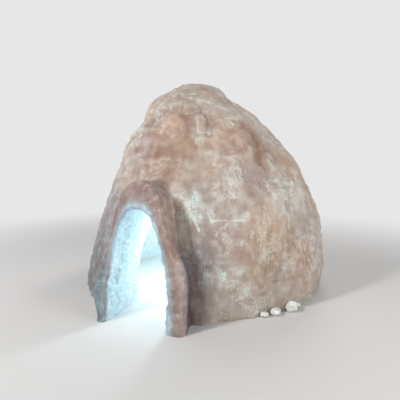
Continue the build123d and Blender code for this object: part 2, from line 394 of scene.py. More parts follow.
class DomeWall:
    """The dome's wall of level rings, each with its own middle, measured up the wall from the ground."""

    def __init__(self, dome):
        self.dome = dome
        turn = np.linspace(0.0, pi / 2, 4001)
        self.radii = dome.radius * np.maximum(np.cos(turn), 0.0) ** (2 / dome.inward)
        self.heights = dome.height * np.sin(turn) ** (2 / dome.rise)
        steps = np.hypot(np.diff(self.radii), np.diff(self.heights))
        self.lengths = np.concatenate([[0.0], np.cumsum(steps)])
        self.length = self.lengths[-1]
        self.key_bed = float(np.interp(-dome.key_radius, -self.radii, self.lengths))
        self.rise = self.key_bed / len(COURSE_BLOCKS)
        self.aside = (dome.radius - float(np.max(self.radii + self.creep(self.heights)))) / 2

    def creep(self, height):
        """How far a ring has crept to the right as the dome settled."""
        share = height / self.dome.height
        return 4 * self.dome.belly * share * (1 - share) + self.dome.crown * share * (2 * share - 1)

    def place(self, up, turn, depth=1.0):
        """Points and outward directions at a length up the wall, an angle round from the door
        and a share of the wall's thickness, 0 inside and 1 outside."""
        dome = self.dome
        radius = np.interp(up, self.lengths, self.radii)
        height = np.interp(up, self.lengths, self.heights)
        out = dome.inward * (radius / dome.radius) ** (dome.inward - 1) / dome.radius
        rise = dome.rise * (height / dome.height) ** (dome.rise - 1) / dome.height
        size = np.hypot(out, rise)
        out, rise = out / size, rise / size
        wall = dome.wall_foot + (dome.wall_crown - dome.wall_foot) * np.clip(up / self.length, 0.0, 1.0)
        inward = (1.0 - depth) * wall
        radius, height = radius - inward * out, height - inward * rise
        side, front = np.sin(turn), -np.cos(turn)
        across = self.aside + self.creep(height) + radius * side
        points = np.stack([across, dome.back + radius * front, height + 0 * side], axis=1)
        share = height / dome.height
        slope = (4 * dome.belly * (1 - 2 * share) + dome.crown * (4 * share - 1)) / dome.height
        outward = np.stack([out * side, out * front, rise - out * side * slope], axis=1)
        return points, outward / np.linalg.norm(outward, axis=1)[:, None]

    def flat(self, points):
        """Points seen from above, from the middle of their own ring."""
        return points[:, 0] - self.aside - self.creep(points[:, 2]), points[:, 1] - self.dome.back

    def outside(self, points):
        """Above 0 outside the dome's face, below 0 inside it."""
        radius = np.hypot(*self.flat(points))
        height = np.maximum(points[:, 2], 0.0)
        dome = self.dome
        return (radius / dome.radius) ** dome.inward + (height / dome.height) ** dome.rise - 1.0

    def chart(self, points):
        """Angle round from the door and length up the wall of points near the face."""
        across, back = self.flat(points)
        return np.arctan2(across, -back), np.interp(points[:, 2], self.heights, self.lengths)


class Arch:
    """Stilted arch of three arcs, standing on the ground line of the hood's front plane."""

    def __init__(self, half, height, crown, spring, middle=0.0):
        self.half, self.height, self.crown, self.spring, self.middle = half, height, crown, spring, middle
        self.crown_up = height - crown - spring
        self.side = (half**2 + self.crown_up**2 - crown**2) / (2 * (half - crown))
        self.offset = half - self.side
        turn = atan2(self.crown_up, self.side - half)
        self.change_x = crown * cos(turn)
        self.change_up = self.crown_up + crown * sin(turn)

    def half_at(self, height):
        """Half the arch's width at a height."""
        up = height - self.spring
        side = self.offset + np.sqrt(np.maximum(self.side**2 - up**2, 0.0))
        top = np.sqrt(np.maximum(self.crown**2 - (up - self.crown_up) ** 2, 0.0))
        return np.where(up <= 0, self.half, np.where(up < self.change_up, side, top))

    def height_at(self, x):
        """Height of the arch over a place across it."""
        x = np.abs(x - self.middle)
        top = self.crown_up + np.sqrt(np.maximum(self.crown**2 - x**2, 0.0))
        side = np.sqrt(np.maximum(self.side**2 - (x - self.offset) ** 2, 0.0))
        return self.spring + np.where(x < self.change_x, top, np.where(x < self.half, side, -self.spring))

    def rim(self, angle):
        """Point (x, height above the springing) where a ray from the springing's middle leaves the arch."""
        across, up = np.cos(angle), np.sin(angle)

        def within(reach):
            return self.half_at(self.spring + reach * up) - np.abs(reach * across - self.middle)

        reach = bisect(within, np.zeros(len(angle)), np.full(len(angle), FARTHEST_RIM))
        return reach * across, reach * up


class Porch:
    """The hood's leaning frame: across, up its front and back along the passage."""

    def __init__(self, wall, entrance):
        self.origin = np.array((wall.aside + entrance.side, wall.dome.back - entrance.reach, 0.0))
        self.up = np.array((0.0, sin(entrance.tilt), cos(entrance.tilt)))
        self.back = np.array((0.0, cos(entrance.tilt), -sin(entrance.tilt)))
        self.tilt = entrance.tilt
        self.passage = Arch(entrance.width / 2, entrance.height, entrance.curve, entrance.spring)
        self.hood = Arch(
            entrance.width / 2 + entrance.jamb,
            entrance.height + entrance.crown,
            entrance.outer_curve,
            entrance.spring,
            entrance.hood_side,
        )

    def place(self, x, up, back):
        """Points from a place across, up the front and back."""
        points = self.origin + up[:, None] * self.up + back[:, None] * self.back
        points[:, 0] += x
        return points

    def height(self, points):
        """How far up the hood's front plane points lie."""
        return (points - self.origin) @ self.up

    def across(self, points):
        """How far points lie beside the passage's middle."""
        return points[:, 0] - self.origin[0]


def noise(points, size, seed):
    """Smooth random field of points, about -1 to 1, whose lumps are `size` metres across."""
    slopes = np.random.default_rng(seed).normal(size=(NOISE_SLOPES, 3))
    slopes /= np.linalg.norm(slopes, axis=1)[:, None]
    place = points / size + NOISE_SHIFT
    cell = np.floor(place).astype(np.int64)
    part = place - cell
    blend = part**3 * (part * (part * 6 - 15) + 10)
    total = np.zeros(len(points))
    for corner in range(8):
        step = np.array((corner & 1, corner >> 1 & 1, corner >> 2 & 1))
        spot = (cell + step) * NOISE_PRIMES
        pick = (spot[:, 0] ^ spot[:, 1] ^ spot[:, 2]) % NOISE_SLOPES
        share = np.prod(np.where(step, blend, 1 - blend), axis=1)
        total += share * np.einsum("ij,ij->i", slopes[pick], part - step)
    return NOISE_GAIN * total


def layered(points, layers):
    """Sum of layers of noise, each (height, breadth, seed)."""
    return sum(height * noise(points, breadth, seed) for height, breadth, seed in layers)


def smooth_step(value):
    value = np.clip(value, 0.0, 1.0)
    return value * value * (3 - 2 * value)


def bell(value):
    return np.exp(-(value**2))


def at_stations(station, rows):
    """Sum of bells along the hood's stations, each (amount, station, breadth)."""
    return sum(amount * bell((station - middle) / breadth) for amount, middle, breadth in rows)


def toned(tint, share, tone):
    """Tint moved towards a tone by a share from 0 to 1."""
    return tint + share[:, None] * (np.asarray(tone) - tint)


def to_line(points, line):
    """Distance of points from a line of straight runs."""
    nearest = np.full(len(points), np.inf)
    for start, end in zip(line, line[1:]):
        run = end - start
        share = np.clip((points - start) @ run / (run @ run), 0.0, 1.0)
        nearest = np.minimum(nearest, np.linalg.norm(points - start - share[:, None] * run, axis=1))
    return nearest


def spots_on(wall, spots):
    """Points on the dome's face for (degrees, metres up) pairs."""
    turn = np.radians([spot[0] for spot in spots])
    return wall.place(np.array([spot[1] for spot in spots], float), turn)[0]


def away_from(wall, points, degrees_round, metres_up):
    """Distance of points from a spot on the dome's face."""
    return np.linalg.norm(points - spots_on(wall, [(degrees_round, metres_up)]), axis=1)


def bisect(value_at, low, high, rounds=26):
    """Where a function that falls from above 0 at `low` to below 0 at `high` crosses it."""
    low, high = low.copy(), high.copy()
    for _ in range(rounds):
        middle = (low + high) / 2
        above = value_at(middle) > 0
        low, high = np.where(above, middle, low), np.where(above, high, middle)
    return (low + high) / 2


def stroke_place(wall, points):
    """Place of points on a drum round the dome, so that strokes up the wall have no seam."""
    turn, up = wall.chart(points)
    return np.stack([STROKE_DRUM * np.sin(turn), STROKE_DRUM * np.cos(turn), up], axis=1)


def hood_fillet(wall, points):
    """Snow packed into the corner between the dome and the hood, as a share of its full depth."""
    entrance = bpy.context.scene.igloo_entrance
    porch = Porch(wall, entrance)
    x, up = porch.across(points), porch.height(points) - porch.hood.spring
    rim_x, rim_up = porch.hood.rim(np.arctan2(np.maximum(up, 0.0), x))
    beside = np.hypot(x, np.maximum(up, 0.0)) - np.hypot(rim_x, rim_up)
    return bell(np.maximum(beside, 0.0) / entrance.weld) * (points[:, 1] < 0)


def dome_dimples(wall, finish, points):
    """Dimples and smoothing strokes of the dome's face, deeper where it was rubbed less."""
    rubbed = smooth_step(0.5 + layered(points, RUBBED_AREAS))
    dimples = layered(points, HAND_DIMPLES) + layered(points, FINGER_DIMPLES) * (0.6 + 0.8 * rubbed)
    dimples += layered(points, SMALL_DIMPLES) * (0.5 + rubbed)
    drum = stroke_place(wall, points)
    drum[:, 0] += STROKE_LEAN * drum[:, 2]
    strokes = noise(drum * STROKE_SCALE, 1.0, STROKE_SEED) * (1.4 - rubbed)
    return finish.dimples * dimples + finish.streaks * strokes


def dome_creases(wall, points):
    """Depth of the creases at points of the dome, and height of the lips over them."""
    crease, lips = np.zeros(len(points)), np.zeros(len(points))
    wander = layered(points, CREASE_WANDER)
    for line, width, depth in CREASES:
        spots = spots_on(wall, line)
        lip = np.array((0.0, 0.0, LIP_RISE * width))
        crease += depth * bell((to_line(points, spots) + wander) / width)
        lips += LIP_HEIGHT * depth * bell((to_line(points - lip, spots) + wander) / (LIP_BREADTH * width))
    return crease, lips


def shape_relief(wall, finish, points):
    """How far the face stands out at points of the dome, and how hollow it is there, 0 to 1, which sets the
    painted shade of hollows and creases and the painted highlight of crests.
    """
    lumps = layered(points, BROAD_LUMPS)
    folds = np.clip(0.5 - np.abs(layered(points, BROAD_FOLDS)), -0.5, 0.5)
    dimples = dome_dimples(wall, finish, points)
    crease, lips = dome_creases(wall, points)
    relief = finish.lumps * (lumps + FOLD_SHARE * folds) + dimples + lips - crease
    for degrees_round, metres_up, breadth, out in SWELLINGS:
        relief += out * bell(away_from(wall, points, degrees_round, metres_up) / breadth)
    to_left = smooth_step(-np.degrees(wall.chart(points)[0]) / FILLET_TURN)
    relief += hood_fillet(wall, points) * (FILLET_RIGHT + (FILLET_LEFT - FILLET_RIGHT) * to_left)
    hollow_shade = np.clip(0.45 - 0.20 * lumps - dimples / (3.2 * finish.dimples), 0.0, 0.75)
    return relief, np.clip(hollow_shade + crease / CREASE_FULL_SHADE, 0.0, 1.0)


def shape_glow(wall, points, joint):
    """How much light shines through: thin places, strongest along the joints and seams."""
    patch = VALLEY_GLOW * smooth_step(0.15 - 1.1 * layered(points, BROAD_LUMPS))
    for degrees_round, metres_up, breadth, strength in THIN_SNOW:
        away = away_from(wall, points, degrees_round, metres_up)
        patch = np.maximum(patch, strength * bell(away / breadth))
    broken = smooth_step(0.55 + layered(points, BROKEN_LIGHT))
    glow = patch * (0.30 + 0.70 * broken) * (0.80 + 0.20 * joint)
    for line in THIN_SEAMS:
        away = to_line(points, spots_on(wall, line)) + layered(points, SEAM_WANDER)
        glow = np.maximum(glow, bell(away / SEAM_BREADTH) * (0.60 + 0.40 * broken))
    return np.clip(glow, 0.0, 1.0)


def wall_tint(wall, points):
    """Tint of the dome's snow: toned patches, some of them painted shade of folds; painted cool shade left
    of the door; the hood's painted shadow, darker, right of the hood.
    """
    turn, up = wall.chart(points)
    degrees_round = np.degrees(turn)
    wander = layered(points, PATCH_WANDER)
    tint = np.ones((len(points), 3))
    for patch_degrees, patch_up, breadth, strength, tone in TONED_SNOW:
        away = away_from(wall, points, patch_degrees, patch_up)
        edge = np.maximum(away / breadth - 0.2 + 0.35 * wander, 0.0) / 1.05
        tint = toned(tint, strength * bell(edge), tone)
    # painted cool shade on the left flank, darker low down
    flank_cool_shade = smooth_step((-16 - 20 * smooth_step((up - 0.9) / 0.5) - degrees_round) / 20)
    flank_cool_shade *= smooth_step((degrees_round + 120) / 70) * (1 - smooth_step((up - 0.5) / 1.5))
    low_left_shade = 1 - 0.22 * smooth_step((0.95 - up) / 0.6) * bell((degrees_round + 38) / 26)
    tint = toned(tint, flank_cool_shade, low_left_shade[:, None] * np.array(PAINTED_COOL_SHADE_FLANK))
    # painted shadow of the hood on the dome right of it, low down
    beside = bell((degrees_round - 17) / 7) * smooth_step((0.85 - up) / 0.35)
    return toned(tint, beside, PAINTED_HOOD_SHADOW)


def close_rows(share, length, cells):
    """Even rows moved so that some lie close to both ends, where a block's edge is rubbed round."""
    near = np.array(EDGE_ROWS) / length
    even = np.arange(len(EDGE_ROWS)) / cells
    return np.interp(share, np.concatenate([even, 1 - even[::-1]]), np.concatenate([near, 1 - near[::-1]]))


def cut_block(cells):
    """Unit block with its faces cut into cells[0] by cells[1] by cells[2]."""
    block = bmesh.new()
    bmesh.ops.create_cube(block, size=1.0, matrix=Matrix.Translation((0.5, 0.5, 0.5)))
    for axis, count in enumerate(cells):
        across = [edge for edge in block.edges if abs(edge.verts[0].co[axis] - edge.verts[1].co[axis]) > 0.5]
        bmesh.ops.subdivide_edges(block, edges=across, cuts=count - 1, use_grid_fill=True)
    mesh = bpy.data.meshes.new("block")
    block.to_mesh(mesh)
    block.free()
    return mesh


def put_in_scene(name, data):
    """Object of a mesh, lamp or camera, linked to the scene."""
    thing = bpy.data.objects.new(name, data)
    bpy.context.scene.collection.objects.link(thing)
    return thing


def build_piece(name, blocks, material, nodes):
    """One piece of several blocks, each a (cells, shape) pair: shape bends the unit block's points
    into place and gives their glow (painted light), hollow shade (painted shade and highlight), indoors, lay
    and tint."""
    whole = bmesh.new()
    parts = []
    for cells, shape in blocks:
        unit = cut_block(cells)
        places = np.empty(len(unit.vertices) * 3, np.float32)
        unit.vertices.foreach_get("co", places)
        parts.append(shape(places.reshape(-1, 3).astype(float), cells))
        whole.from_mesh(unit)
        bpy.data.meshes.remove(unit)
    mesh = bpy.data.meshes.new(name)
    whole.to_mesh(mesh)
    whole.free()
    mesh.vertices.foreach_set("co", np.concatenate([part[0] for part in parts]).astype(np.float32).ravel())
    for index, key in enumerate(("glow", "hollow_shade", "indoors", "lay", "tint")):
        values = np.concatenate([part[index + 1] for part in parts]).astype(np.float32)
        single = values.ndim == 1
        layer = mesh.attributes.new(key, "FLOAT" if single else "FLOAT_VECTOR", "POINT")
        layer.data.foreach_set("value" if single else "vector", values.ravel())
    mesh.shade_smooth()
    mesh.set_sharp_from_angle(angle=radians(50))
    mesh.update()
    mesh.materials.append(material)
    piece = put_in_scene(name, mesh)
    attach(piece, "root")
    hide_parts(*nodes)


def joint_angles(course):
    """Joints of a course from the door round to the door again, in degrees from the door."""
    step = 360 / COURSE_BLOCKS[course]
    turn = COURSE_TURN[course]
    if course < LINTEL_COURSE:
        first = turn + step
        return [0] + [first + step * count for count in range(int((360 - 2 * first) / step) + 1)] + [360]
    if course == LINTEL_COURSE:
        return [turn + step * count for count in range(COURSE_BLOCKS[course])]
    return [turn + step * count for count in range(COURSE_BLOCKS[course] + 1)]


def joint_groove(finish, points, edge, layers):
    """Depth of the joints, which are open in places, by the distance from a block's edge."""
    open_share = smooth_step(JOINT_OPEN + layered(points, layers))
    return finish.joints * open_share * smooth_step(1 - edge / JOINT_BREADTH)


def with_groove(hollow_shade, groove):
    """Painted shade of the face's hollows, with the dark of its joints added."""
    return np.clip(hollow_shade + groove / GROOVE_DARK, 0.0, 1.0)


def face_glow(wall, face, edge, depth):
    """Light through the dome's face, which fades into the thickness of the wall."""
    return shape_glow(wall, face, bell(edge / JOINT_GLOW)) * smooth_step((depth - 0.5) / 0.4)


def indoor_share(depth):
    """1 on the inner face of the wall, 0 on its outer face."""
    return 1 - smooth_step((depth - 0.55) / 0.35)


def course_block(course, start, end):
    """A block of a ring course between two joints, as a (cells, shape) pair."""
    scene = bpy.context.scene
    dome, finish = scene.igloo_dome, scene.igloo_finish
    wall = DomeWall(dome)
    porch = Porch(wall, scene.igloo_entrance)
    low, high = course * wall.rise, (course + 1) * wall.rise
    is_lintel = course == LINTEL_COURSE and start < 0
    from_door = course < LINTEL_COURSE and start == 0
    to_door = course < LINTEL_COURSE and end == 360
    side = 1.0 if from_door else -1.0
    radius = float(np.interp((low + high) / 2, wall.lengths, wall.radii))
    width = radius * radians(end - start)
    across, upward = (max(round(size / dome.cell), LEAST_CELLS) for size in (width, high - low))

    def jamb_turn(up, depth):
        """Angle at which the passage's side cuts the block."""

        def beyond(turn):
            points = wall.place(up, side * turn, depth)[0]
            return porch.passage.half_at(porch.height(points)) - side * porch.across(points)

        return side * bisect(beyond, *(np.full(len(up), turn) for turn in JAMB_TURNS))

    def lintel_bed(turn, depth):
        """Length up the wall at which the passage's crown cuts the lintel."""

        def under(up):
            points = wall.place(up, turn, depth)[0]
            return porch.passage.height_at(porch.across(points)) - porch.height(points)

        cut = bisect(under, np.full(len(turn), low - LINTEL_DROP), np.full(len(turn), high))
        return np.maximum(low, cut)

    def shape(unit, cells):
        depth = np.interp(unit[:, 2], np.linspace(0, 1, len(WALL_ROWS)), WALL_ROWS)
        share = close_rows(unit[:, 0], width, cells[0])
        lift = close_rows(unit[:, 1], high - low, cells[1])
        bed = np.full(len(unit), low)
        first, last = np.full(len(unit), radians(start)), np.full(len(unit), radians(end))
        for _ in range(2):
            up = bed + lift * (high - bed)
            if from_door:
                first = jamb_turn(up, depth)
            if to_door:
                last = 2 * pi + jamb_turn(up, depth)
            turn = first + share * (last - first)
            if is_lintel:
                bed = lintel_bed(turn, depth)
        up = bed + lift * (high - bed)
        points, outward = wall.place(up, turn, depth)
        face, _ = wall.place(up, turn)
        from_jamb = (share if from_door else 1 - share) * width
        side_edge = np.minimum(share, 1 - share) * width
        if from_door or to_door:
            side_edge = np.where((share < 0.5) == from_door, 1.0, side_edge)
        bed_edge = (1 - lift if course == 0 else np.minimum(lift, 1 - lift)) * (high - low)
        edge = np.minimum(side_edge, bed_edge)
        relief, hollow_shade = shape_relief(wall, finish, face)
        groove = joint_groove(finish, face, edge, OPEN_JOINTS)
        outer = smooth_step((depth - 0.35) / 0.6)
        inner = smooth_step((0.4 - depth) / 0.35)
        room = layered(points, ROOM_LUMPS) - 0.004 * smooth_step(1 - edge / 0.024)
        points = points + outward * (outer * (relief - groove) - inner * room)[:, None]
        indoors = indoor_share(depth)
        if from_door or to_door:
            at_door = bell(from_jamb / 0.05) * smooth_step((1 - depth) / 0.4)
            points[:, 0] += side * at_door * layered(points, PASSAGE_ROUGH)
            indoors = np.where(from_jamb < TINY, 1.0, indoors)
        if is_lintel:
            indoors = np.where((lift < TINY) & (bed > low + TINY), 1.0, indoors)
        on_ground = (lift < TINY) & (course == 0)
        points[:, 2] = np.where(on_ground, 0.0, np.maximum(points[:, 2], 0.0))
        glow = face_glow(wall, face, edge, depth)
        tint = toned(np.ones(3), 1 - indoors, wall_tint(wall, face))
        return points, glow, with_groove(hollow_shade, groove), indoors, stroke_place(wall, face), tint

    return (across, upward, len(WALL_ROWS) - 1), shape


def key_shape(unit, cells):
    """The unit block pressed into a round tapering plug: its middle is the crown."""
    scene = bpy.context.scene
    wall = DomeWall(scene.igloo_dome)
    finish = scene.igloo_finish
    flat = 2 * unit[:, :2] - 1
    square = np.max(np.abs(flat), axis=1)
    size = np.maximum(np.hypot(flat[:, 0], flat[:, 1]), 1e-9)
    circle = (square / size)[:, None] * flat
    reach = np.hypot(circle[:, 0], circle[:, 1])
    turn = np.arctan2(circle[:, 0], -circle[:, 1])
    up = wall.length - reach * (wall.length - wall.key_bed)
    depth = unit[:, 2]
    face, outward = wall.place(up, turn)
    under = wall.place(np.full(len(unit), wall.key_bed), turn, 0.0)[0]
    middle = np.array((wall.aside + wall.creep(under[0, 2]), wall.dome.back, under[0, 2]))
    below = middle + reach[:, None] * (under - middle)
    relief, hollow_shade = shape_relief(wall, finish, face)
    edge = (1 - reach) * (wall.length - wall.key_bed)
    groove = joint_groove(finish, face, edge, OPEN_JOINTS)
    top = face + outward * (relief - groove)[:, None]
    points = below + depth[:, None] * (top - below)
    glow, lay = face_glow(wall, face, edge, depth), stroke_place(wall, face)
    return points, glow, with_groove(hollow_shade, groove), indoor_share(depth), lay, wall_tint(wall, face)


def rub_rims(across, back, run, rim):
    """Round the front rims of an arch block, the one round the door less than the outer one."""
    for at_door, most_of_run, size in ((True, 0.22, 0.4 * rim), (False, 0.45, rim)):
        radius = np.minimum(size, most_of_run * run)
        from_edge = across if at_door else run - across
        inside = (from_edge < radius) & (back < radius)
        least = np.minimum(from_edge, back)
        rest = np.maximum(radius - least, TINY)
        turn_in = pi / 4 * (1 - (back - least) / rest)
        turn_out = pi / 4 * (1 + (from_edge - least) / rest)
        angle = np.where(from_edge <= back, turn_in, turn_out)
        from_edge = np.where(inside, radius - rest * np.cos(angle), from_edge)
        back = np.where(inside, radius - rest * np.sin(angle), back)
        across = from_edge if at_door else run - from_edge
    return across, back


def rubbed_back(station, back, thick, run):
    """How far the hood's outline is rubbed back towards the passage."""
    taper = RIGHT_TAPER_LEAST + at_stations(station, RIGHT_TAPER)
    narrow = RIGHT_BACK + at_stations(station, RIGHT_SHOULDER) + taper * smooth_step(back / 0.36)
    narrow = narrow * smooth_step((92 - station) / 20) + at_stations(station, LEFT_OUTLINE)
    return thick * np.minimum(narrow, run - LEAST_HOOD)


def hood_tint(wall, entrance, points, station, thick, run, back, to_face):
    """Tint of the hood's snow: painted shade over it all, painted cool shade at its left jamb, a painted
    highlight along its right rim, painted shade on its right side, painted cold light in the passage and
    round the door, and the dome's own where the two meet."""
    outer, inner = hood_sides(thick)
    right, left, left_front = hood_flanks(station, back)
    # painted shade over the whole hood
    tint = np.tile(HOOD_SHADE_TINT, (len(points), 1))
    # painted highlight along the right rim
    ridge_highlight = right * bell((1 - thick) / 0.30) * bell(back / 0.09)
    tint = toned(tint, ridge_highlight, toned(np.array(LOW_RIDGE_HIGHLIGHT), smooth_step((station - 38) / 20), HIGH_RIDGE_HIGHLIGHT))
    # painted cool shade at the left jamb
    jamb_cool_shade = left * (0.55 + 0.45 * smooth_step((station - 120) / 30))
    tint = toned(tint, jamb_cool_shade, toned(np.array(PAINTED_COOL_SHADE_JAMB), bell(back / 0.14), PAINTED_COOL_SHADE_JAMB_FRONT))
    shaded = right * smooth_step((back - 0.02) / 0.13) * outer * smooth_step((75 - station) / 30)
    tint = toned(tint, shaded, SHADED_SIDE)
    above = smooth_step((station - 40) / 30) * smooth_step((140 - station) / 30)
    blend = bell(to_face / (entrance.weld * (1 + above))) * outer * (0.35 + 0.65 * above)
    tint = toned(tint, blend, wall_tint(wall, points))
    # painted cold light in the passage
    tint = toned(tint, inner * (1 - 0.6 * left_front), PAINTED_PASSAGE_LIGHT)
    # painted light round the door
    door_glow = 0.9 * bell(thick * run / 0.070) * bell(back / 0.06) * smooth_step((150 - station) / 50)
    return toned(tint, door_glow, PAINTED_DOOR_GLOW)


def hood_glow(points, station, back):
    """Light through the thin places of the hood."""
    glow = np.zeros(len(points))
    for at_station, at_back, breadth, strength in THIN_HOOD:
        along = (station - at_station) * radians(0.8)
        glow = np.maximum(glow, strength * bell(np.hypot(along, back - at_back) / breadth))
    return glow * (0.45 + 0.55 * smooth_step(0.55 + layered(points, BROKEN_HOOD_LIGHT)))


def hood_sides(thick):
    """Shares of the hood's outer and inner face at a share of its thickness."""
    return smooth_step((thick - 0.4) / 0.5), smooth_step((0.45 - thick) / 0.4)


def hood_flanks(station, back):
    """Shares of the hood's right and left flank, and of the left one's front."""
    left = smooth_step((station - 90) / 60)
    return smooth_step((100 - station) / 50), left, left * bell(back / 0.05)


def hood_block(start, end):
    """An arch block of the hood between two stations, as a (cells, shape) pair. Stations run from
    the right foot over the crown (90) to the left foot."""
    scene = bpy.context.scene
    entrance, finish = scene.igloo_entrance, scene.igloo_finish
    wall = DomeWall(scene.igloo_dome)
    porch = Porch(wall, entrance)

    def section(station):
        """Inner and outer points, as (x, up), of the arch at stations, and how far they stand
        down from the springing, as a share."""
        angle = np.radians(np.clip(station, 0.0, 180.0))
        sunk = np.maximum(-station, station - 180.0) / -FOOT_STATION
        in_x, in_up = porch.passage.rim(angle)
        out_x, out_up = porch.hood.rim(angle)
        return in_x, in_up + entrance.spring, out_x, out_up + entrance.spring, np.clip(sunk, 0.0, 1.0)

    _, _, edge_x, edge_up, edge_sunk = section(np.linspace(start, end, 40))
    span = float(np.sum(np.hypot(np.diff(edge_x), np.diff(edge_up * (1 - edge_sunk)))))

    def shape(unit, cells):
        share = close_rows(unit[:, 0], span, cells[0])
        station = start + share * (end - start)
        in_x, in_up, out_x, out_up, sunk = section(station)
        run = np.hypot(out_x - in_x, out_up - in_up)

        def lay_out(thick, back):
            x = in_x + thick * (out_x - in_x)
            up = in_up + thick * (out_up - in_up)
            foot = np.maximum(back, 0.0) * tan(porch.tilt)
            return porch.place(x, np.where(sunk > 0, foot + (up - foot) * (1 - sunk), up), back)

        def in_front(back):
            return wall.outside(lay_out(unit[:, 1], back))

        to_dome = bisect(in_front, np.zeros(len(unit)), np.ones(len(unit)))
        back = unit[:, 2] ** HOOD_BACK_POWER * (to_dome + HOOD_SUNK)
        across, back = rub_rims(unit[:, 1] * run, back, run, entrance.rim)
        thick = across / run
        to_face = to_dome - back
        points = lay_out(thick, back)
        outward = lay_out(np.ones(len(unit)), back) - lay_out(np.zeros(len(unit)), back)
        outward /= np.linalg.norm(outward, axis=1)[:, None]
        outer, inner = hood_sides(thick)
        weld = bell(to_face / entrance.weld) * smooth_step((thick - 0.5) / 0.5)
        from_start, from_end = share * span, (1 - share) * span
        edge = np.minimum(from_start, from_end)
        if start <= FOOT_STATION:
            edge = from_end
        if end >= 180 - FOOT_STATION:
            edge = from_start
        groove = joint_groove(finish, points, edge, OPEN_HOOD_JOINTS)
        relief, fine = layered(points, HOOD_LUMPS), layered(points, HOOD_DIMPLES)
        rough = layered(points, PASSAGE_ROUGH) * smooth_step(to_face / 0.10)
        rough += 0.004 * smooth_step(-to_face / 0.015)
        lip = at_stations(station, LEFT_LIP) + RIGHT_FOOT_LIP * smooth_step((12 - station) / 12)
        rough -= lip * bell(back / 0.10)
        stand_out = outer * (relief + fine - groove + 0.03 * weld**2) + inner * rough
        stand_out -= rubbed_back(station, back, thick, run)
        forward = bell(back / 0.06) * (relief * 0.8 + fine - groove * 0.6) * (1 - weld)
        points = points + outward * stand_out[:, None] - porch.back * forward[:, None]
        points[:, 2] = np.where((sunk > 1 - TINY) | (points[:, 2] < 0), 0.0, points[:, 2])
        hollow_shade = with_groove(0.5 - fine / 0.009 - relief / 0.06, groove)
        left_front = hood_flanks(station, back)[2]
        indoors = inner * (1 - 0.75 * bell(back / 0.035)) * (1 - 0.5 * left_front)
        tint = hood_tint(wall, entrance, points, station, thick, run, back, to_face)
        glow = outer * hood_glow(points, station, back)
        return points, glow, hollow_shade, indoors, points.copy(), tint

    return (max(round(span / entrance.cell), LEAST_HOOD_CELLS), *HOOD_CELLS), shape


def lump_shape(name, seed, turn):
    """A unit block worn to a lump that fills a solid of the frame."""
    low, high = (np.array(corner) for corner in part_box(name))
    lie = np.array(Euler((0.35, 0.25, turn)).to_matrix())

    def shape(unit, cells):
        flat = 2 * unit - 1
        square = np.max(np.abs(flat), axis=1)[:, None]
        size = np.maximum(np.linalg.norm(flat, axis=1), 1e-9)[:, None]
        worn = 0.60 * flat + 0.50 * flat / size * square
        worn *= 1 + layered(worn + seed, ((0.20, 1.2, seed), (0.05, 0.5, seed + 1)))[:, None]
        worn = worn @ lie.T
        worn /= np.max(np.abs(worn), axis=0)
        points = (low + high) / 2 + worn * (high - low) / 2
        points[:, 2] = np.maximum(points[:, 2], 0.0)
        hollow_shade = np.clip(0.40 - 0.8 * noise(points, 0.03, seed), 0.0, 1.0)
        glow = np.clip(0.65 + 0.3 * noise(points, 0.08, seed + 2), 0.0, 1.0)
        return points, glow, hollow_shade, 0.0 * glow, points, np.full((len(unit), 3), LUMP_TINT)

    return LUMP_CELLS, shape


class NodeTree:
    """Nodes of a material or of the world, and the links between them."""

    def __init__(self, owner):
        owner.use_nodes = True
        self.tree = owner.node_tree
        self.tree.nodes.clear()

    def add(self, kind, inputs=None, **settings):
        """Add a node with its settings. Each input is another node's output or a value of its own."""
        node = self.tree.nodes.new(kind)
        for key, value in settings.items():
            setattr(node, key, value)
        for key, value in (inputs or {}).items():
            if isinstance(value, bpy.types.NodeSocket):
                self.tree.links.new(value, node.inputs[key])
            else:
                node.inputs[key].default_value = value
        return node


def opaque(colour):
    """A colour with the fourth number that a node's socket takes; a node's output as it is."""
    return colour if isinstance(colour, bpy.types.NodeSocket) else (*colour, 1.0)


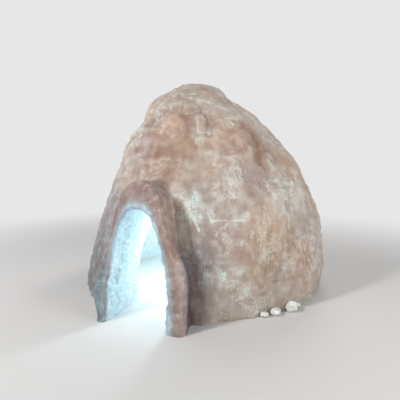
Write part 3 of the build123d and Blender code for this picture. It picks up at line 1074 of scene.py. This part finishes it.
def snow_material(name):
    """Packed snow: broad tone, frost, painted shade in hollows and creases, painted highlight on crests,
    painted light through thin places, and crust, stroke and grain relief.
    """
    finish = bpy.context.scene.igloo_finish
    material = bpy.data.materials.new(name)
    tree = NodeTree(material)
    place = tree.add("ShaderNodeTexCoord").outputs["Object"]

    def texture(scale, detail, roughness, vector=place, distortion=0.0):
        inputs = {"Vector": vector, "Scale": scale, "Detail": detail, "Roughness": roughness}
        return tree.add("ShaderNodeTexNoise", {**inputs, "Distortion": distortion}).outputs

    def remap(value, low, high, to_low=0.0, to_high=1.0):
        inputs = {"Value": value, "From Min": low, "From Max": high, "To Min": to_low, "To Max": to_high}
        return tree.add("ShaderNodeMapRange", inputs, interpolation_type="SMOOTHSTEP").outputs["Result"]

    def both(operation, first, second):
        inputs = {0: first, 1: second}
        return tree.add("ShaderNodeMath", inputs, operation=operation, use_clamp=True).outputs[0]

    def mix(factor, first, second):
        inputs = {"Factor": factor, 6: opaque(first), 7: opaque(second)}
        return tree.add("ShaderNodeMix", inputs, data_type="RGBA").outputs[2]

    def attribute(name, output="Fac"):
        return tree.add("ShaderNodeAttribute", attribute_name=name).outputs[output]

    def stretched(scale):
        inputs = {"Vector": attribute("lay", "Vector"), "Scale": scale}
        return tree.add("ShaderNodeMapping", inputs).outputs["Vector"]

    strokes = texture(1.0, 4.0, 0.6, stretched((20.0, 20.0, 4.6)))["Fac"]
    scratches = texture(1.0, 3.0, 0.7, stretched((62.0, 62.0, 15.0)))["Fac"]
    broad = texture(1.9, 3.0, 0.55)["Fac"]
    patches = texture(7.0, 7.0, 0.66, distortion=1.6)["Fac"]
    crust = texture(38.0, 5.0, 0.68, distortion=0.8)["Fac"]
    grain = texture(240.0, 3.0, 0.6)["Fac"]
    bend = {0: texture(9.0, 3.0, 0.6)["Color"], 1: (0.16, 0.16, 0.16), 2: place}
    bent = tree.add("ShaderNodeVectorMath", bend, operation="MULTIPLY_ADD").outputs[0]
    net = tree.add("ShaderNodeTexVoronoi", {"Vector": bent, "Scale": 11.0}, feature="DISTANCE_TO_EDGE")
    veins = remap(net.outputs["Distance"], 0.0, 0.075, 1.0, 0.0)

    colour = mix(remap(broad, 0.38, 0.62), finish.cool, finish.snow)
    # painted shade in hollows
    colour = mix(remap(attribute("hollow_shade"), 0.25, 0.90, 0.0, 0.78), colour, finish.shade)
    worked = remap(texture(3.4, 2.0, 0.5)["Fac"], 0.40, 0.60, 0.15, 1.0)
    frosted = both("MULTIPLY", remap(worked, 0.15, 1.0, 0.35, 1.0), remap(patches, 0.48, 0.64, 0.0, 0.85))
    colour = mix(frosted, colour, finish.frost_and_highlight)
    # painted shade in creases, laid over the frost
    colour = mix(remap(attribute("hollow_shade"), 0.80, 1.0, 0.0, 0.60), colour, finish.shade)
    # painted highlight on crests
    colour = mix(remap(attribute("hollow_shade"), 0.40, 0.02, 0.0, 0.60), colour, finish.frost_and_highlight)
    for marks, low, high, most, tone in (
        (strokes, 0.48, 0.30, 0.40, finish.shade),
        (strokes, 0.52, 0.68, 0.55, finish.frost_and_highlight),
        (scratches, 0.56, 0.68, 0.45, finish.thin),
    ):
        colour = mix(both("MULTIPLY", worked, remap(marks, low, high, 0.0, most)), colour, tone)
    colour = mix(remap(crust, 0.56, 0.74, 0.0, 0.35), colour, finish.frost_and_highlight)
    veined = both("MULTIPLY", both("MULTIPLY", worked, veins), remap(patches, 0.44, 0.58, 0.0, 0.65))
    colour = mix(veined, colour, finish.thin)
    bright = both("ADD", both("MULTIPLY", veins, 0.55), remap(scratches, 0.50, 0.66, 0.0, 0.55))
    bright = both("ADD", bright, remap(crust, 0.42, 0.62, 0.38, 0.90))
    # painted light through thin snow, where the glow is
    colour = mix(both("MULTIPLY", bright, remap(attribute("glow"), 0.03, 0.80)), colour, finish.thin)
    pitted = mix(remap(crust, 0.36, 0.56), finish.room_shade, finish.room)
    pitted = mix(remap(patches, 0.35, 0.60, 0.45, 1.0), finish.room_shade, pitted)
    layers = {"Factor": 1.0, 6: mix(attribute("indoors"), colour, pitted), 7: attribute("tint", "Color")}
    tinted = tree.add("ShaderNodeMix", layers, data_type="RGBA", blend_type="MULTIPLY").outputs[2]

    relief = {}
    for value, distance, strength in (
        (strokes, 0.012, 0.6),
        (patches, 0.022, 0.55),
        (crust, 0.007, 0.7),
        (grain, 0.0012, 0.5),
    ):
        inputs = {"Height": value, "Distance": distance, "Strength": strength, **relief}
        relief = {"Normal": tree.add("ShaderNodeBump", inputs).outputs["Normal"]}

    inputs = {
        "Base Color": tinted,
        "Roughness": remap(crust, 0.35, 0.75, 0.82, 0.55),
        "Specular IOR Level": 0.35,
        "IOR": 1.31,
        "Subsurface Weight": 0.12,
        "Subsurface Radius": (1.0, 0.95, 0.9),
        "Subsurface Scale": 0.012,
        **relief,
    }
    shader = tree.add("ShaderNodeBsdfPrincipled", inputs).outputs["BSDF"]
    tree.add("ShaderNodeOutputMaterial", {"Surface": shader})
    return material


def material_of(name):
    return bpy.data.materials.get(name) or snow_material(name)


class IGLOO_OT_lay_courses(bpy.types.Operator):
    """Lay the ring courses of leaning snow blocks"""

    bl_idname = "igloo.lay_courses"
    bl_label = "Lay the courses"

    def execute(self, context):
        material = material_of("dome_packed_snow")
        for course in range(len(COURSE_BLOCKS)):
            joints = joint_angles(course)
            spans = list(zip(joints, joints[1:]))
            for first, word in ((0, "odd"), (1, "even")):
                node = f"course_{course + 1}_{word}_blocks"
                blocks = [course_block(course, *span) for span in spans[first::2]]
                build_piece(f"snow_{node}", blocks, material, [node])
        return {"FINISHED"}


class IGLOO_OT_set_lintel(bpy.types.Operator):
    """Set the block that bridges the passage"""

    bl_idname = "igloo.set_lintel"
    bl_label = "Set the lintel block"

    def execute(self, context):
        half = COURSE_TURN[LINTEL_COURSE]
        block = course_block(LINTEL_COURSE, -half, half)
        material = material_of("dome_packed_snow")
        build_piece("snow_lintel_block", [block], material, ["passage_lintel_block"])
        return {"FINISHED"}


class IGLOO_OT_set_key(bpy.types.Operator):
    """Set the round key block that shuts the dome"""

    bl_idname = "igloo.set_key"
    bl_label = "Set the key block"

    def execute(self, context):
        block = (KEY_CELLS, key_shape)
        build_piece("snow_key_block", [block], material_of("dome_packed_snow"), ["key_block"])
        return {"FINISHED"}


class IGLOO_OT_build_hood(bpy.types.Operator):
    """Build the arch blocks of the entrance hood"""

    bl_idname = "igloo.build_hood"
    bl_label = "Build the entrance hood"

    def execute(self, context):
        material = material_of("hood_packed_snow")
        joints = (FOOT_STATION,) + HOOD_JOINTS
        for word, low, high in zip(("lower_jamb", "upper_jamb", "haunch", "shoulder"), joints, joints[1:]):
            for side, start, end in (("right", low, high), ("left", 180 - high, 180 - low)):
                node = f"hood_{side}_{word}"
                build_piece(f"snow_{node}", [hood_block(start, end)], material, [node])
        crown = hood_block(HOOD_JOINTS[-1], 180 - HOOD_JOINTS[-1])
        build_piece("snow_hood_crown_block", [crown], material, ["hood_crown_block"])
        return {"FINISHED"}


class IGLOO_OT_place_lumps(bpy.types.Operator):
    """Place the loose lumps at the foot of the dome"""

    bl_idname = "igloo.place_lumps"
    bl_label = "Place the loose lumps"

    def execute(self, context):
        material = material_of("lump_snow")
        for number, word in enumerate(("large", "middle", "small", "crumb")):
            node = f"foot_lump_{word}"
            block = lump_shape(node, 51 + 7 * number, 0.6 + 0.9 * number)
            build_piece(f"snow_{node}", [block], material, [node])
        return {"FINISHED"}


def floor_material(stage):
    """Pale matt floor that fades into the backdrop away from the object."""
    material = bpy.data.materials.new("floor")
    tree = NodeTree(material)
    place = tree.add("ShaderNodeTexCoord").outputs["Object"]
    away = tree.add("ShaderNodeVectorMath", {0: place}, operation="LENGTH").outputs["Value"]
    inputs = {"Value": away, "From Min": FLOOR_FADE[0], "From Max": FLOOR_FADE[1]}
    fade = tree.add("ShaderNodeMapRange", inputs, interpolation_type="SMOOTHSTEP").outputs["Result"]
    matt = tree.add("ShaderNodeBsdfDiffuse", {"Color": opaque(stage.floor)}).outputs[0]
    plain = tree.add("ShaderNodeEmission", {"Color": opaque(stage.backdrop)}).outputs[0]
    surface = tree.add("ShaderNodeMixShader", {"Fac": fade, 1: matt, 2: plain}).outputs[0]
    tree.add("ShaderNodeOutputMaterial", {"Surface": surface})
    return material


def studio_world(stage):
    """World that lights the object softly and shows the backdrop to the camera and to gloss."""
    world = bpy.data.worlds.new("studio")
    tree = NodeTree(world)
    rays = tree.add("ShaderNodeLightPath").outputs
    seen = rays["Is Camera Ray"]
    for name in ("Is Glossy Ray", "Is Transmission Ray"):
        seen = tree.add("ShaderNodeMath", {0: seen, 1: rays[name]}, operation="MAXIMUM").outputs[0]
    light = {"Color": AMBIENT_COLOUR, "Strength": AMBIENT_STRENGTH}
    ambient = tree.add("ShaderNodeBackground", light).outputs[0]
    backdrop = tree.add("ShaderNodeBackground", {"Color": opaque(stage.backdrop)}).outputs[0]
    surface = tree.add("ShaderNodeMixShader", {"Fac": seen, 1: ambient, 2: backdrop}).outputs[0]
    tree.add("ShaderNodeOutputWorld", {"Surface": surface})
    return world


def hang_lamp(name, kind, place, size, power, colour):
    """Hang a lamp, turned towards the object."""
    lamp = bpy.data.lights.new(name, kind)
    setattr(lamp, "size" if kind == "AREA" else "shadow_soft_size", size)
    lamp.energy = power
    lamp.color = colour
    holder = put_in_scene(name, lamp)
    holder.location = place
    holder.rotation_euler = (Vector(LAMP_AIM) - Vector(place)).to_track_quat("-Z", "Y").to_euler()


class IGLOO_OT_set_stage(bpy.types.Operator):
    """Set the floor, the backdrop, the lamps and the camera"""

    bl_idname = "igloo.set_stage"
    bl_label = "Set the stage"

    def execute(self, context):
        scene = context.scene
        stage = scene.igloo_stage
        sheet = bmesh.new()
        bmesh.ops.create_circle(sheet, cap_ends=True, segments=96, radius=FLOOR_RADIUS)
        mesh = bpy.data.meshes.new("floor")
        sheet.to_mesh(mesh)
        sheet.free()
        mesh.materials.append(floor_material(stage))
        floor = put_in_scene("floor", mesh)
        floor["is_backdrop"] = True
        scene.world = studio_world(stage)
        for lamp in LAMPS:
            hang_lamp(*lamp)

        camera = bpy.data.cameras.new("camera")
        camera.lens = stage.lens
        camera.sensor_width = SENSOR
        camera.sensor_fit = "HORIZONTAL"
        camera.dof.use_dof = False
        holder = put_in_scene("camera", camera)
        holder.location = stage.camera
        holder.rotation_euler = (pi / 2 - stage.pitch, 0.0, stage.heading)
        scene.camera = holder
        scene.view_settings.view_transform = "Standard"
        return {"FINISHED"}


GROUPS = (
    ("Dome", "igloo_dome", IglooDome),
    ("Entrance", "igloo_entrance", IglooEntrance),
    ("Snow", "igloo_finish", IglooFinish),
    ("Stage", "igloo_stage", IglooStage),
)


class IGLOO_PT_sidebar(bpy.types.Panel):
    """Sizes, colours and building steps of the igloo"""

    bl_idname = "IGLOO_PT_sidebar"
    bl_label = "Igloo"
    bl_space_type = "VIEW_3D"
    bl_region_type = "UI"
    bl_category = "Igloo"

    def draw(self, context):
        for label, place, _ in GROUPS:
            group = getattr(context.scene, place)
            box = self.layout.box()
            box.label(text=label)
            for key in group.__annotations__:
                box.prop(group, key)
        for step in STEPS:
            self.layout.operator(step.bl_idname)


STEPS = (
    IGLOO_OT_set_stage,
    IGLOO_OT_lay_courses,
    IGLOO_OT_set_lintel,
    IGLOO_OT_set_key,
    IGLOO_OT_build_hood,
    IGLOO_OT_place_lumps,
)
CLASSES = (*(group for *_, group in GROUPS), *STEPS, IGLOO_PT_sidebar)


def register():
    for kind in CLASSES:
        bpy.utils.register_class(kind)
    for _, place, group in GROUPS:
        setattr(bpy.types.Scene, place, PointerProperty(type=group))


def unregister():
    for _, place, _ in GROUPS:
        delattr(bpy.types.Scene, place)
    for kind in reversed(CLASSES):
        bpy.utils.unregister_class(kind)


def main():
    register()
    bpy.ops.igloo.set_stage()
    bpy.ops.igloo.lay_courses()
    bpy.ops.igloo.set_lintel()
    bpy.ops.igloo.set_key()
    bpy.ops.igloo.build_hood()
    bpy.ops.igloo.place_lumps()
    boxes = {"cad": CAD_BOX, "visual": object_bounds()}
    {name: [list(corner) for corner in box] for name, box in boxes.items()}


if __name__ == "__main__":
    main()
